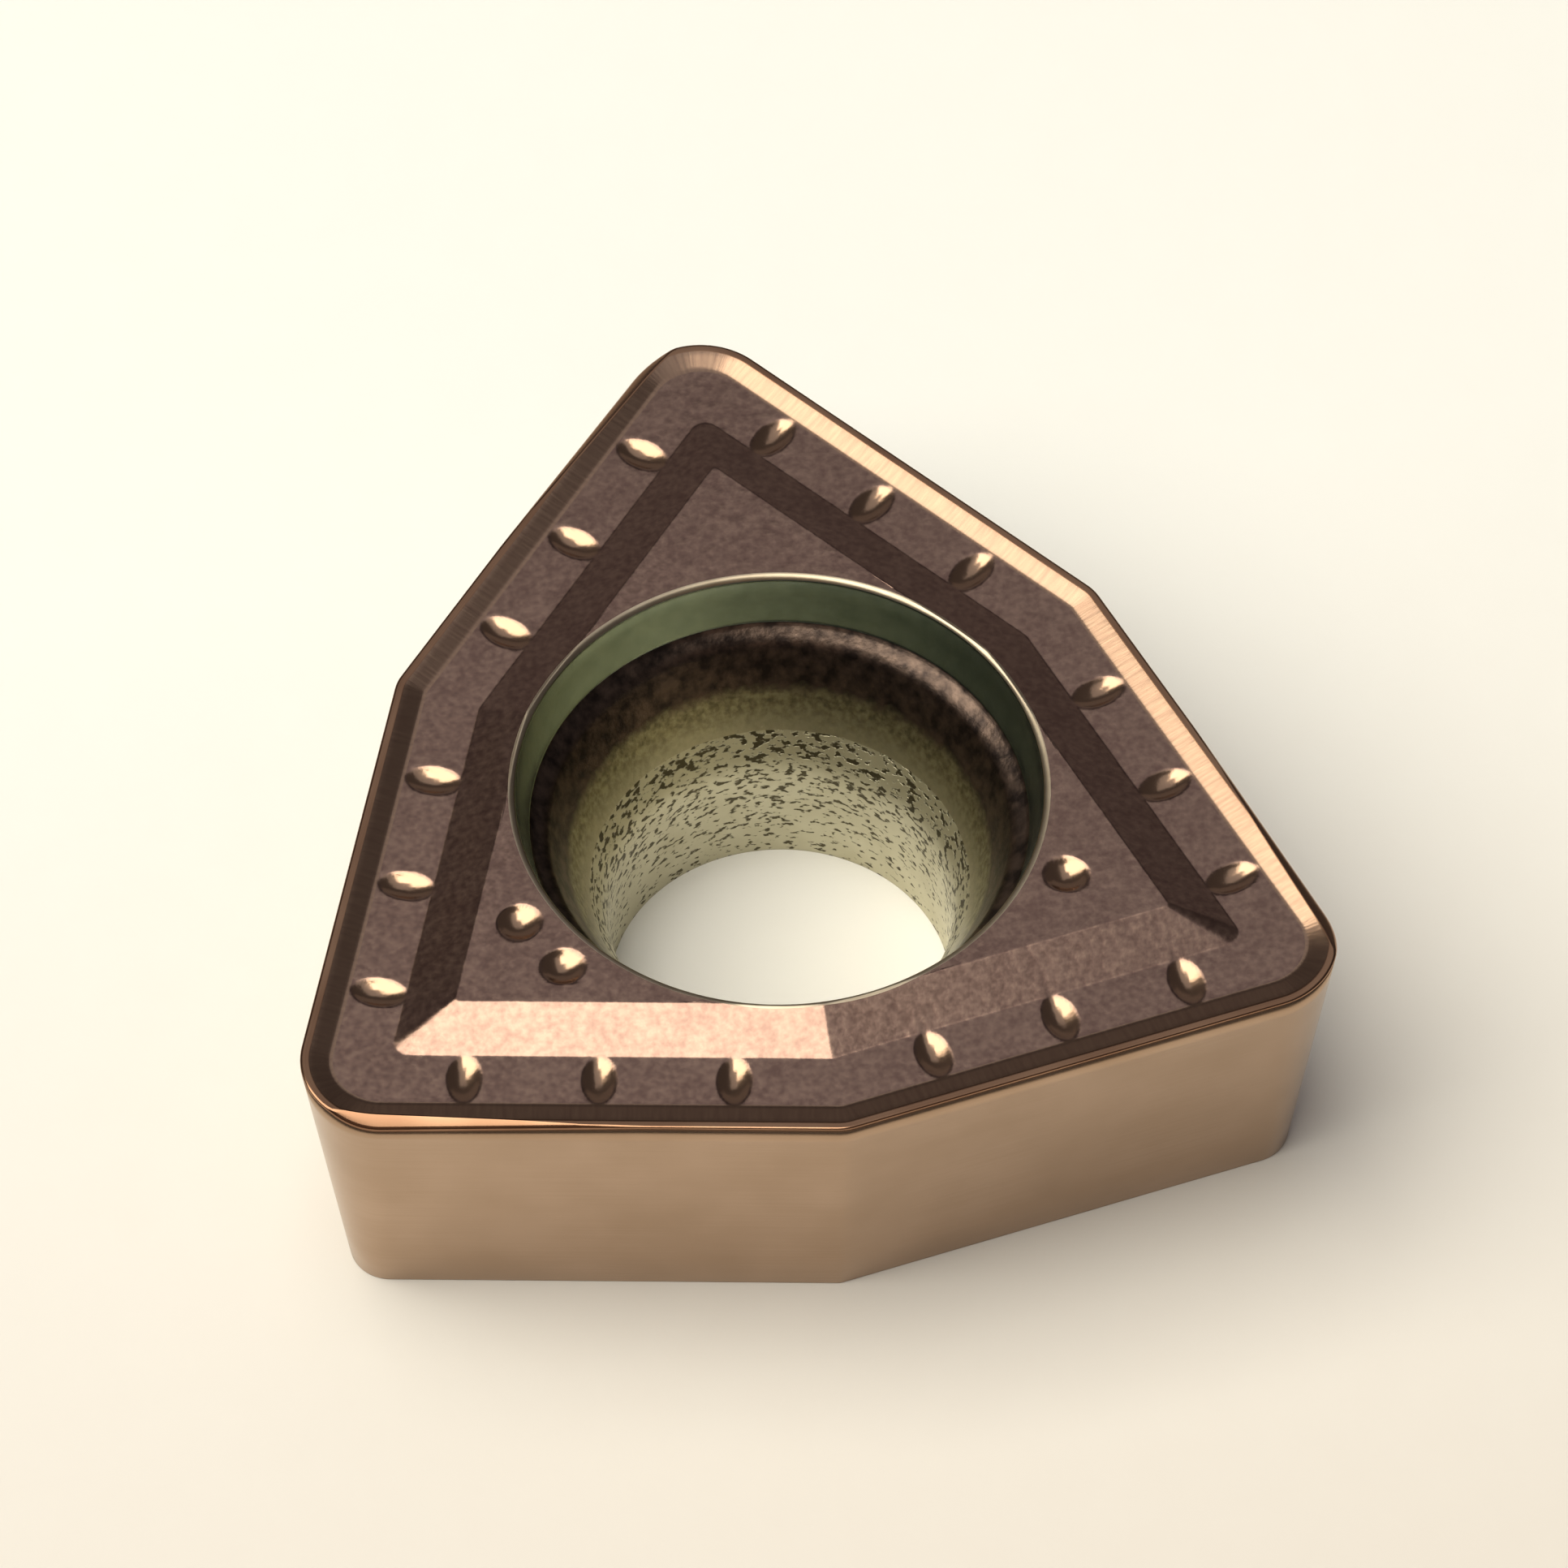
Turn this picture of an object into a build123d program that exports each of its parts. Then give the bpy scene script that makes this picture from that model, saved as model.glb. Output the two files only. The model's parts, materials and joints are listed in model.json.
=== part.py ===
"""An indexable carbide insert of the trigon kind, for the end of a short-hole drill.

Units are millimetres. The origin is on the axis of the screw hole, in the flat face
that seats in the holder's pocket. +Z runs up along the hole to the cutting face, and
the first of the three cutting corners points along +Y.
"""
import os
from math import cos, radians, sin, tan

from build123d import *

# The trigon: six sides about one inscribed circle, meeting in turn at 80 and 160 degrees.
INSCRIBED_DIAMETER = 7.94
THICKNESS = 3.18
CUTTING_CORNERS = 3
CUTTING_CORNER_ANGLE = 80
CUTTING_CORNER_RADIUS = 0.8
OBTUSE_CORNER_RADIUS = 0.5
RELIEF_ANGLE = 7

# The cutting edge: a rounded hone, then a flat land, then a rim that slopes down to the groove.
HONE_RADIUS = 0.03
LAND_INSET = 0.08
RIM_RUN = 0.215
GROOVE_DEPTH = 0.05

# A ground facet strengthens each cutting corner along its working side, and runs out
# before the obtuse corner.
FACET_ANGLE = 33
FACET_TIP_INSET = 0.217
FACET_LENGTH = 3.45

# The raised boss in the middle of the cutting face, inside the groove.
BOSS_FOOT_INSET = 0.865
BOSS_SLOPE_RUN = 0.505
BOSS_HEIGHT = 0.20
BOSS_FOOT_RADIUS = 0.16
BOSS_TOP_RADIUS = 0.04

# Oval dimples in the groove, long across it, in rows along each of the six sides.
DIMPLES_PER_SIDE = 3
DIMPLE_FIRST = 1.74
DIMPLE_PITCH = 1.30
DIMPLE_INSET = 0.595
DIMPLE_LENGTH = 0.55
DIMPLE_WIDTH = 0.33
DIMPLE_DEPTH = 0.055

# Round dots in the boss number the corners: none, two and one, going round.
DOT_COUNTS = (0, 2, 1)
DOT_REACH = 2.98
DOT_PITCH = 0.68
DOT_DIAMETER = 0.43
DOT_DEPTH = 0.075

# The screw hole: a plain bore, a rolled seat for the screw's head with a shoulder round it,
# then a steep mouth.
BORE_RADIUS = 1.70
BORE_LENGTH = 1.18
SEAT_ROLL_RADIUS = 0.90
SEAT_SLOPE = 66
SHOULDER_RADIUS = 2.27
SHOULDER_SLOPE = 35
SEAT_RADIUS = 2.42
MOUTH_FOOT_RADIUS = 2.45
MOUTH_RADIUS = 2.575
MOUTH_ROUND = 0.075

INRADIUS = INSCRIBED_DIAMETER / 2
HALF_CORNER = CUTTING_CORNER_ANGLE / 2
CORNER_STEP = 360 / CUTTING_CORNERS
HALF_OBTUSE = CORNER_STEP - HALF_CORNER
FLOOR_HEIGHT = THICKNESS - GROOVE_DEPTH
BOSS_TOP_HEIGHT = FLOOR_HEIGHT + BOSS_HEIGHT
UP = Vector(0, 0, 1)


def reach(vertex):
    """How far a corner of an outline lies from the hole's axis."""
    return round(Vector(vertex.X, vertex.Y).length, 3)


def corner_turn(corner):
    """The direction of a cutting corner from the hole, in degrees from +X."""
    return 90 + corner * CORNER_STEP


def corner_tip(corner, inset=0.0):
    """Where the two sides of a cutting corner would meet if the corner were sharp."""
    return Vector((INRADIUS - inset) / sin(radians(HALF_CORNER)), 0).rotate(Axis.Z, corner_turn(corner))


def trigon(height, inset, cutting_radius, obtuse_radius=0.0):
    """The outline at a height, moved inwards by inset, with its corners rounded."""
    inradius = INRADIUS - inset
    points = []
    for corner in range(CUTTING_CORNERS):
        obtuse_turn = corner_turn(corner) + CORNER_STEP / 2
        points.append(corner_tip(corner, inset))
        points.append(Vector(inradius / sin(radians(HALF_OBTUSE)), 0).rotate(Axis.Z, obtuse_turn))
    with BuildSketch(Plane.XY.offset(height)) as outline:
        Polygon(*points, align=None)
        if obtuse_radius:
            fillet(outline.vertices().group_by(reach)[0], radius=obtuse_radius)
        fillet(outline.vertices().group_by(reach)[-1], radius=cutting_radius)
    return outline.sketch


def side_directions(corner, hand):
    """Along a side, away from its cutting corner, and from that side straight in to the hole."""
    along = Vector(1, 0, 0).rotate(Axis.Z, corner_turn(corner) + 180 + hand * HALF_CORNER)
    return along, along.rotate(Axis.Z, -90 * hand)


def dimple_planes(height):
    """One plane per dimple: above its middle at a height, X along its length."""
    for corner in range(CUTTING_CORNERS):
        for hand in (-1, 1):
            along, inward = side_directions(corner, hand)
            for number in range(DIMPLES_PER_SIDE):
                distance = DIMPLE_FIRST + number * DIMPLE_PITCH
                middle = corner_tip(corner) + along * distance + inward * DIMPLE_INSET + UP * height
                yield Plane(middle, x_dir=inward, z_dir=UP)


def dot_places(radius):
    """Where the middles of the balls that press the dots lie, above the boss."""
    height = BOSS_TOP_HEIGHT - DOT_DEPTH + radius
    for corner, count in enumerate(DOT_COUNTS):
        outward = Vector(1, 0, 0).rotate(Axis.Z, corner_turn(corner))
        sideways = outward.rotate(Axis.Z, 90)
        for number in range(count):
            offset = (number - (count - 1) / 2) * DOT_PITCH
            yield outward * DOT_REACH + sideways * offset + UP * height


def facet_plane(corner):
    """The plane of a corner's ground facet, facing up and outwards."""
    along, inward = side_directions(corner, -1)
    start = corner_tip(corner) + inward * FACET_TIP_INSET + UP * THICKNESS
    end = corner_tip(corner) + along * FACET_LENGTH + UP * THICKNESS
    line = (end - start).normalized()
    outward = line.cross(UP)
    facing = UP * cos(radians(FACET_ANGLE)) + outward * sin(radians(FACET_ANGLE))
    return Plane(start, x_dir=line, z_dir=facing)


def ball_radius(width, depth):
    """The radius of the ball that presses a dimple of a width and a depth into a flat face."""
    return (width ** 2 / 4 + depth ** 2) / (2 * depth)


# The tool that presses one dimple: a ball stretched along X, so that its dimple is an oval.
dimple_ball = ball_radius(DIMPLE_WIDTH, DIMPLE_DEPTH)
dimple_rise = dimple_ball - DIMPLE_DEPTH
with BuildPart() as dimple_tool:
    Sphere(dimple_ball)
    scale(by=(DIMPLE_LENGTH / DIMPLE_WIDTH, 1, 1))

with BuildPart() as insert:
    # The blank: a trigon that leans in from the cutting face to the seat.
    blank = trigon(THICKNESS, 0, CUTTING_CORNER_RADIUS, OBTUSE_CORNER_RADIUS)
    extrude(blank, amount=-THICKNESS, taper=RELIEF_ANGLE)
    fillet(insert.edges().group_by(Axis.Z)[-1], radius=HONE_RADIUS)

    # The groove: everything inside the land is pressed down to the floor.
    rim_inset = LAND_INSET + RIM_RUN
    rim_foot = trigon(FLOOR_HEIGHT, rim_inset, CUTTING_CORNER_RADIUS - rim_inset)
    rim_top = trigon(THICKNESS, LAND_INSET, CUTTING_CORNER_RADIUS - LAND_INSET)
    loft([rim_foot, rim_top], ruled=True, mode=Mode.SUBTRACT)

    # The boss stands on the floor.
    boss_foot = trigon(FLOOR_HEIGHT, BOSS_FOOT_INSET, BOSS_FOOT_RADIUS)
    boss_top = trigon(BOSS_TOP_HEIGHT, BOSS_FOOT_INSET + BOSS_SLOPE_RUN, BOSS_TOP_RADIUS)
    loft([boss_foot, boss_top], ruled=True)

    # The screw hole, turned about its axis.
    seat_centre = (BORE_RADIUS + SEAT_ROLL_RADIUS, BORE_LENGTH)
    with BuildSketch(Plane.XZ):
        with BuildLine():
            bore_wall = Line((BORE_RADIUS, 0), (BORE_RADIUS, BORE_LENGTH))
            seat_roll = CenterArc(seat_centre, SEAT_ROLL_RADIUS, 180, SEAT_SLOPE - 90)
            seat_rise = (SHOULDER_RADIUS - (seat_roll @ 1).X) * tan(radians(SEAT_SLOPE))
            shoulder = Vector(SHOULDER_RADIUS, (seat_roll @ 1).Y + seat_rise)
            shoulder_width = SEAT_RADIUS - SHOULDER_RADIUS
            seat_edge = shoulder + Vector(shoulder_width, shoulder_width * tan(radians(SHOULDER_SLOPE)))
            mouth_foot = (MOUTH_FOOT_RADIUS, seat_edge.Y + MOUTH_FOOT_RADIUS - SEAT_RADIUS)
            mouth_top = (MOUTH_RADIUS, BOSS_TOP_HEIGHT - MOUTH_ROUND)
            Polyline(seat_roll @ 1, shoulder, seat_edge, mouth_foot, mouth_top)
            mouth_round = CenterArc(
                (MOUTH_RADIUS + MOUTH_ROUND, BOSS_TOP_HEIGHT - MOUTH_ROUND), MOUTH_ROUND, 180, -90
            )
            Polyline(mouth_round @ 1, (0, BOSS_TOP_HEIGHT), (0, 0), bore_wall @ 0)
        make_face()
    revolve(axis=Axis.Z, mode=Mode.SUBTRACT)

    # The dimples, the dots and the ground facets.
    with Locations(*dimple_planes(FLOOR_HEIGHT + dimple_rise)):
        add(dimple_tool.part, mode=Mode.SUBTRACT)
    dot_ball = ball_radius(DOT_DIAMETER, DOT_DEPTH)
    with Locations(*dot_places(dot_ball)):
        Sphere(dot_ball, mode=Mode.SUBTRACT)
    for corner in range(CUTTING_CORNERS):
        split(bisect_by=facet_plane(corner), keep=Keep.BOTTOM)

os.makedirs("parts", exist_ok=True)
insert.part.label = "insert"
export_step(insert.part, "parts/insert.step")
print(f"volume {insert.part.volume:.2f} mm3, box {insert.part.bounding_box().size}")
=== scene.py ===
# %% [markdown]
# # A carbide insert, built as one continuous skin
# The real object is one small block of sintered carbide: powder pressed to shape, fired, ground
# on its sides and base, and coated. It is 10 mm across. Nothing on it is a separate part, so
# here it is one closed mesh: rings of points that start at the lower end of the screw hole, go
# out over the base, up the sides, over the cutting edge, across the face and down the hole.
# The ready-made CAD mesh would also do, but its long thin triangles show in glossy
# reflections. Even rings give smooth ones.

# %% Load the frame
import json
from math import cos, pi, radians, sin, tan

import bpy
import numpy as np
from mathutils import Matrix, Vector


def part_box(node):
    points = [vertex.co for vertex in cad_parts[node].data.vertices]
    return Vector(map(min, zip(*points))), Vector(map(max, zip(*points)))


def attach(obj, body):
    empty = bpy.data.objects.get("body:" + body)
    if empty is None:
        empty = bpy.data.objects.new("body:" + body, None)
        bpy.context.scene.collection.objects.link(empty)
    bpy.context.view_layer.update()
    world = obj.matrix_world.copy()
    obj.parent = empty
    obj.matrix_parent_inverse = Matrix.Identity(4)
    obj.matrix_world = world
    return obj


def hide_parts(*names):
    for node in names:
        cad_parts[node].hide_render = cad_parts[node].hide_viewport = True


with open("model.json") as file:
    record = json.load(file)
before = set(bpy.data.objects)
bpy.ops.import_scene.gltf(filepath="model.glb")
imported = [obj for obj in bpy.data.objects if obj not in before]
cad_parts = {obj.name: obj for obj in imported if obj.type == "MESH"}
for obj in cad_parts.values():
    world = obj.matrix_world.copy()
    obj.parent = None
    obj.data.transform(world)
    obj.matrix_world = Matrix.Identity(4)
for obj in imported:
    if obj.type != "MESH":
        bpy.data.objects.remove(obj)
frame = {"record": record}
bpy.context.view_layer.update()
MM = 0.001

# %% [markdown]
# ## Sizes
# Everything is worked out from the few sizes that a drawing of the insert would give, in
# millimetres. Insets are measured in from the outline, and heights up from the base. The
# hole's radius and length and the height of the boss come from the frame, so that the skin and
# the solid it stands for agree.

# %% Sizes in millimetres
INRADIUS = 7.94 / 2
THICKNESS = 3.18
BOSS_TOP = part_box("insert")[1].z / MM
HALF_CORNER = radians(40)
HALF_OBTUSE = radians(80)
CORNER_RADIUS = 0.8
OBTUSE_RADIUS = 0.5
RELIEF = tan(radians(7))
BASE_INSET = THICKNESS * RELIEF
HONE = 0.03
LAND = 0.08
RIM_FOOT = 0.295
GROOVE_DEPTH = 0.05
FLOOR = THICKNESS - GROOVE_DEPTH
BOSS_FOOT = 0.865
BOSS_EDGE = 1.37
BOSS_FOOT_RADIUS = 0.16
BOSS_EDGE_RADIUS = 0.04
FACET_SLOPE = tan(radians(33))
FACET_START = 0.217
FACET_LENGTH = 3.45
BORE = next(mount for mount in frame["record"]["mounts"] if mount["kind"] == "bore")
BORE_RADIUS = BORE["dims"]["r_mm"]
BORE_TOP = BORE["dims"]["length_mm"]
print(f"boss top {BOSS_TOP:.3f}, bore {BORE_RADIUS} x {BORE_TOP}, base inset {BASE_INSET:.3f}")

# %% [markdown]
# ## The outline
# Seen from above, the insert is six straight sides round one circle. Its corners are 80
# degrees, the three that cut, and 160 degrees in between. One sixth of it, from the middle
# of a cutting corner to the middle of the next blunt one, is enough: the rest is mirrored and
# turned. Plan positions are complex numbers, because mirroring is then a conjugate and
# turning is a product.
# Each ring has the same number of points, its columns. They crowd together where the face
# has its oval dimples and spread out in between.

# %% Stations along one side
DIMPLES_ON_SIDE = 3
DIMPLE_FIRST = 1.74
DIMPLE_PITCH = 1.30
DIMPLE_LENGTH = 0.55
DIMPLE_WIDTH = 0.33
DIMPLE_MARGIN = 0.05
POINTS_IN = {"first gap": 12, "gap": 9, "dimple": 20, "last gap": 8}
SIDE_START = CORNER_RADIUS / tan(HALF_CORNER)
SIDE_LENGTH = INRADIUS * (1 / tan(HALF_CORNER) + 1 / tan(HALF_OBTUSE))
SIDE_END = SIDE_LENGTH - OBTUSE_RADIUS / tan(HALF_OBTUSE)

def side_stations():
    """Distances from the sharp corner along one side, closer together at its dimples."""
    reach = DIMPLE_WIDTH / 2 + DIMPLE_MARGIN
    stations = [SIDE_START]
    for number in range(DIMPLES_ON_SIDE):
        middle = DIMPLE_FIRST + number * DIMPLE_PITCH
        gap_points = POINTS_IN["gap" if number else "first gap"]
        stations.extend(np.linspace(stations[-1], middle - reach, gap_points)[1:])
        stations.extend(np.linspace(middle - reach, middle + reach, POINTS_IN["dimple"])[1:])
    stations.extend(np.linspace(stations[-1], SIDE_END, POINTS_IN["last gap"])[1:])
    return np.array(stations[1:-1])

stations = side_stations()
print(len(stations), "stations from", round(stations[0], 3), "to", round(stations[-1], 3))

# %% Columns round the whole outline
# Headings are in degrees from the middle of a cutting corner.
CORNER, SIDE, BLUNT = range(3)
SIDE_HEADING = 50
BLUNT_HEADING = 60
corner_angles = np.radians(np.linspace(0, SIDE_HEADING, 13))
blunt_angles = np.radians(np.linspace(SIDE_HEADING, BLUNT_HEADING, 3))
side_angles = np.full(len(stations), radians(SIDE_HEADING))
sixth_part = np.repeat([CORNER, SIDE, BLUNT], [len(corner_angles), len(stations), len(blunt_angles)])
sixth_angle = np.concatenate([corner_angles, side_angles, blunt_angles])
sixth_station = np.concatenate([0 * corner_angles, stations, 0 * blunt_angles])
there_and_back = np.concatenate([np.arange(len(sixth_part)), np.arange(len(sixth_part) - 2, 0, -1)])
column_part = np.tile(sixth_part[there_and_back], 3)
column_angle = np.tile(sixth_angle[there_and_back], 3)
column_station = np.tile(sixth_station[there_and_back], 3)
column_mirrored = np.tile(np.arange(len(there_and_back)) >= len(sixth_part), 3)
CORNER_TURNS = np.radians([90, 210, 330])
column_turn = np.repeat(CORNER_TURNS, len(there_and_back))
COLUMNS = len(column_turn)
print(COLUMNS, "columns,", len(there_and_back), "of them in each third")

# %% Rings of the outline at any inset
LAST_DIMPLE_END = DIMPLE_FIRST + (DIMPLES_ON_SIDE - 1) * DIMPLE_PITCH + DIMPLE_WIDTH
STEADY_START = 1.5
SHARP_TIP = INRADIUS / sin(HALF_CORNER)
SIDE_WAY = np.exp(1j * (pi - HALF_CORNER))
SIDE_NORMAL = np.exp(1j * (pi / 2 - HALF_CORNER))

def to_own_sixth(points):
    """Points of the first sixth, each moved to its column's sixth."""
    flipped = np.where(column_mirrored, np.conj(points) * np.exp(2j * pi / 3), points)
    return flipped * np.exp(1j * column_turn)

def ring(inset, corner_radius=None, blunt_radius=None, steady=STEADY_START):
    """One ring, moved in by inset.

    Its columns between the stations steady and LAST_DIMPLE_END stay straight above those of
    the other rings.
    """
    corner_radius = CORNER_RADIUS - inset if corner_radius is None else corner_radius
    blunt_radius = OBTUSE_RADIUS - inset if blunt_radius is None else blunt_radius
    bend = np.exp(1j * column_angle)
    corner = (INRADIUS - inset - corner_radius) / sin(HALF_CORNER) + corner_radius * bend
    blunt = (INRADIUS - inset - blunt_radius) / sin(HALF_OBTUSE) * np.exp(1j * pi / 3) + blunt_radius * bend
    start = (inset + corner_radius) / tan(HALF_CORNER)
    end = SIDE_LENGTH - (inset + blunt_radius) / tan(HALF_OBTUSE)
    early = start + (column_station - SIDE_START) * (steady - start) / (steady - SIDE_START)
    late_share = (column_station - LAST_DIMPLE_END) / (SIDE_END - LAST_DIMPLE_END)
    late = LAST_DIMPLE_END + late_share * (end - LAST_DIMPLE_END)
    station = np.where(column_station < steady, early, column_station)
    station = np.where(column_station > LAST_DIMPLE_END, late, station)
    side = SHARP_TIP + station * SIDE_WAY - inset * SIDE_NORMAL
    return to_own_sixth(np.choose(column_part, [corner, side, blunt]))

outer_ring = ring(0.0)
spoke = outer_ring / np.abs(outer_ring)
print("reach, mm:", round(np.abs(outer_ring).max(), 3), "down to", round(np.abs(outer_ring).min(), 3))

# %% [markdown]
# ## The face
# Pressing gives the face its form: a flat land just inside the edge, a rim that falls to the
# groove, the groove's floor, and a boss with sloping sides round the hole. Its height depends
# only on how far in from the edge a point lies, so one curve describes it. No crease on a
# sintered part is perfectly sharp, and a little easing gives each one the fine line of light
# that the real one shows.
# Each cutting corner is then ground on one side only, to a narrow facet that leans outwards.

# %% Heights of the face
# A crease is its inset, its change of slope, and how far to each side it is eased.
RIM_SLOPE = GROOVE_DEPTH / (RIM_FOOT - LAND)
BOSS_SLOPE = (BOSS_TOP - FLOOR) / (BOSS_EDGE - BOSS_FOOT)
CREASES = (
    (LAND, -RIM_SLOPE, 0.010),
    (RIM_FOOT, RIM_SLOPE, 0.016),
    (BOSS_FOOT, BOSS_SLOPE, 0.014),
    (BOSS_EDGE, -BOSS_SLOPE, 0.012),
)

def eased_ramp(x, ease):
    """0 for x below 0 and x above it, with the bend eased over that distance on each side."""
    return np.where(x > ease, x, np.clip(x + ease, 0, None) ** 2 / (4 * ease))

def face_height(inset):
    """Height of the pressed face, before the facets are ground."""
    return THICKNESS + sum(change * eased_ramp(inset - place, ease) for place, change, ease in CREASES)

print("slopes of the rim and the boss, degrees:", np.degrees(np.arctan((RIM_SLOPE, BOSS_SLOPE))).round(1))

# %% Heights with the facets ground
FACET_EASE = 0.003

def facet_drop(points):
    """How far each point lies under the land once the facets are ground; negative off the facets."""
    drops = []
    for turn in CORNER_TURNS:
        tip = SHARP_TIP * np.exp(1j * turn)
        start = tip - FACET_START * SIDE_NORMAL * np.exp(1j * turn)
        line = tip + FACET_LENGTH * SIDE_WAY * np.exp(1j * turn) - start
        outwards = -1j * line / abs(line)
        drops.append(np.real((points - start) * np.conj(outwards)) * FACET_SLOPE)
    return np.max(drops, axis=0)

def soft_min(a, b, ease):
    """The lower of two heights, rounded where they cross."""
    share = np.clip(0.5 + 0.5 * (b - a) / ease, 0, 1)
    return b + (a - b) * share - ease * share * (1 - share)

def ground_height(inset, points):
    """Height of the finished face."""
    return soft_min(face_height(inset), THICKNESS - facet_drop(points), FACET_EASE)

def inset_of(points):
    """How far in from the nearest side each plan point lies."""
    headings = [turn + way * radians(SIDE_HEADING) for turn in CORNER_TURNS for way in (-1, 1)]
    return INRADIUS - np.max(np.real(points[:, None] * np.exp(-1j * np.array(headings))), axis=1)

# %% Where the facet starts, ends and meets the side
FACET_LIMIT = 0.28
STEP_IN = 0.1
HALVINGS = 24

def last_inset(low, high, holds):
    """The inset between low and high where holds stops being true, found for each column."""
    low, high = np.full(COLUMNS, low), np.full(COLUMNS, high)
    for _ in range(HALVINGS):
        middle = (low + high) / 2
        true = holds(middle)
        low, high = np.where(true, middle, low), np.where(true, high, middle)
    return low

def is_ground(inset):
    return facet_drop(ring(inset)) > THICKNESS - face_height(inset)

outer_drop = facet_drop(outer_ring)
drop_rate = (outer_drop - facet_drop(ring(STEP_IN))) / STEP_IN
edge_inset = np.clip(outer_drop, 0, None) / (1 / RELIEF + drop_rate)
edge_height = THICKNESS - edge_inset / RELIEF
facet_inset = np.where(outer_drop > 0, last_inset(0.0, FACET_LIMIT, is_ground), 0)
print(f"widest facet {facet_inset.max():.3f} mm, lowest edge {THICKNESS - edge_height.min():.3f} mm down")

# %% [markdown]
# ## Rings from the base round to the hole
# Each ring is added with its height and with the finish of the band that leads up to it. The
# rings stand close together only at the creases. An edge is a short curve from a point on the
# one face to a point on the next, pulled towards the sharp edge between them.

# %% Two ways to add rings
BASE, FLANK, EDGE, RIM, PRESSED, LIP, MOUTH, SEAT, BORE_WALL = range(9)
rings = []

def add_ring(plan, height, finish):
    rings.append((plan, np.broadcast_to(height, COLUMNS), finish))

def add_eased_edge(before, corner, after, finish, steps):
    """Rings over an edge, each point given as an inset and a height."""
    for share in np.linspace(0, 1, steps):
        weights = ((1 - share) ** 2, 2 * share * (1 - share), share ** 2)
        inset, height = (sum(w * p[i] for w, p in zip(weights, (before, corner, after))) for i in (0, 1))
        add_ring(ring(inset), height, finish)

# %% Base, sides and cutting edge
BASE_BREAK = 0.015
for share in (0, 0.2, 0.45, 0.7, 0.9):
    add_ring(spoke * BORE_RADIUS * (1 - share) + ring(BASE_INSET) * share, 0.0, BASE)
base_edge = (
    (BASE_INSET + BASE_BREAK, 0.0),
    (BASE_INSET, 0.0),
    (BASE_INSET - BASE_BREAK * RELIEF, BASE_BREAK),
)
add_eased_edge(*base_edge, BASE, 4)
for height in (0.5, 1.2, 1.9, 2.5, 2.9):
    add_ring(ring((THICKNESS - height) * RELIEF), height, FLANK)
hone_top = edge_inset + HONE
cutting_edge = (
    (edge_inset + HONE * RELIEF, edge_height - HONE),
    (edge_inset, edge_height),
    (hone_top, ground_height(hone_top, ring(hone_top))),
)
add_eased_edge(*cutting_edge, FLANK, 1)
add_eased_edge(*cutting_edge, EDGE, 7)
print(len(rings), "rings up to the cutting edge")

# %% Rings of the face
STEADY_ON_BOSS = 2.7
BLUNT_RADII = (OBTUSE_RADIUS, 0.12, 0.1, 0.08)

def face_ring(inset):
    """A ring of the face, with its corners sharper towards the boss, as they are pressed."""
    places = (0, RIM_FOOT, BOSS_FOOT, BOSS_EDGE)
    corner_radii = (CORNER_RADIUS, CORNER_RADIUS - RIM_FOOT, BOSS_FOOT_RADIUS, BOSS_EDGE_RADIUS)
    corner = np.interp(inset, places, corner_radii)
    blunt = np.interp(inset, places, BLUNT_RADII)
    steady = np.interp(inset, (BOSS_FOOT, BOSS_EDGE), (STEADY_START, STEADY_ON_BOSS))
    return ring(inset, corner, blunt, steady)

def add_face_ring(inset, finish):
    plan = face_ring(inset)
    add_ring(plan, ground_height(inset, plan), finish)

# %% Facet, land, rim and groove
# Where a column has no facet, its facet still gets a sliver, so that the rings never cross.
SLIVER = 0.006
FACET_CREASE = 0.008
BEFORE_RIM, INTO_RIM = 0.002, 0.012
CREASE_REACH = 0.02
facet_end = np.maximum(facet_inset, hone_top + SLIVER)
land_end = np.maximum(LAND, facet_end + SLIVER)
facet_ease = np.minimum(FACET_CREASE, (facet_end - hone_top) / 3)
land_ease = np.minimum(FACET_CREASE, (land_end - facet_end) / 3)
for inset in ((hone_top + facet_end) / 2, facet_end - facet_ease, facet_end, facet_end + land_ease):
    add_face_ring(inset, EDGE)
add_face_ring((facet_end + land_end + land_ease) / 2, EDGE)
for inset in (land_end - BEFORE_RIM, land_end + INTO_RIM):
    add_face_ring(inset, EDGE)
for share in (0.3, 0.55, 0.8):
    add_face_ring(land_end + (RIM_FOOT - land_end) * share, RIM)
for inset in (RIM_FOOT - CREASE_REACH, RIM_FOOT, RIM_FOOT + CREASE_REACH):
    add_face_ring(inset, RIM)
for inset in np.linspace(RIM_FOOT + CREASE_REACH, BOSS_FOOT - CREASE_REACH, 18)[1:]:
    add_face_ring(inset, PRESSED)
for inset in np.linspace(BOSS_FOOT - CREASE_REACH, BOSS_FOOT + CREASE_REACH, 5)[1:]:
    add_face_ring(inset, PRESSED)
print(len(rings), "rings up to the boss")

# %% Boss
# Where the rounded mouth of the hole cuts into the boss's slope, the slope stops just short.
MOUTH_ROUND = 0.075
MOUTH_RADIUS = 2.575
PLATEAU_END = MOUTH_RADIUS + MOUTH_ROUND
MOUTH_MARGIN = 0.02
BOSS_LIMIT = 1.6
EDGE_REACH = 0.016
MOUTH_REACH = 0.012

def is_clear_of_mouth(inset):
    return np.abs(face_ring(inset)) > PLATEAU_END + MOUTH_MARGIN

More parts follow.
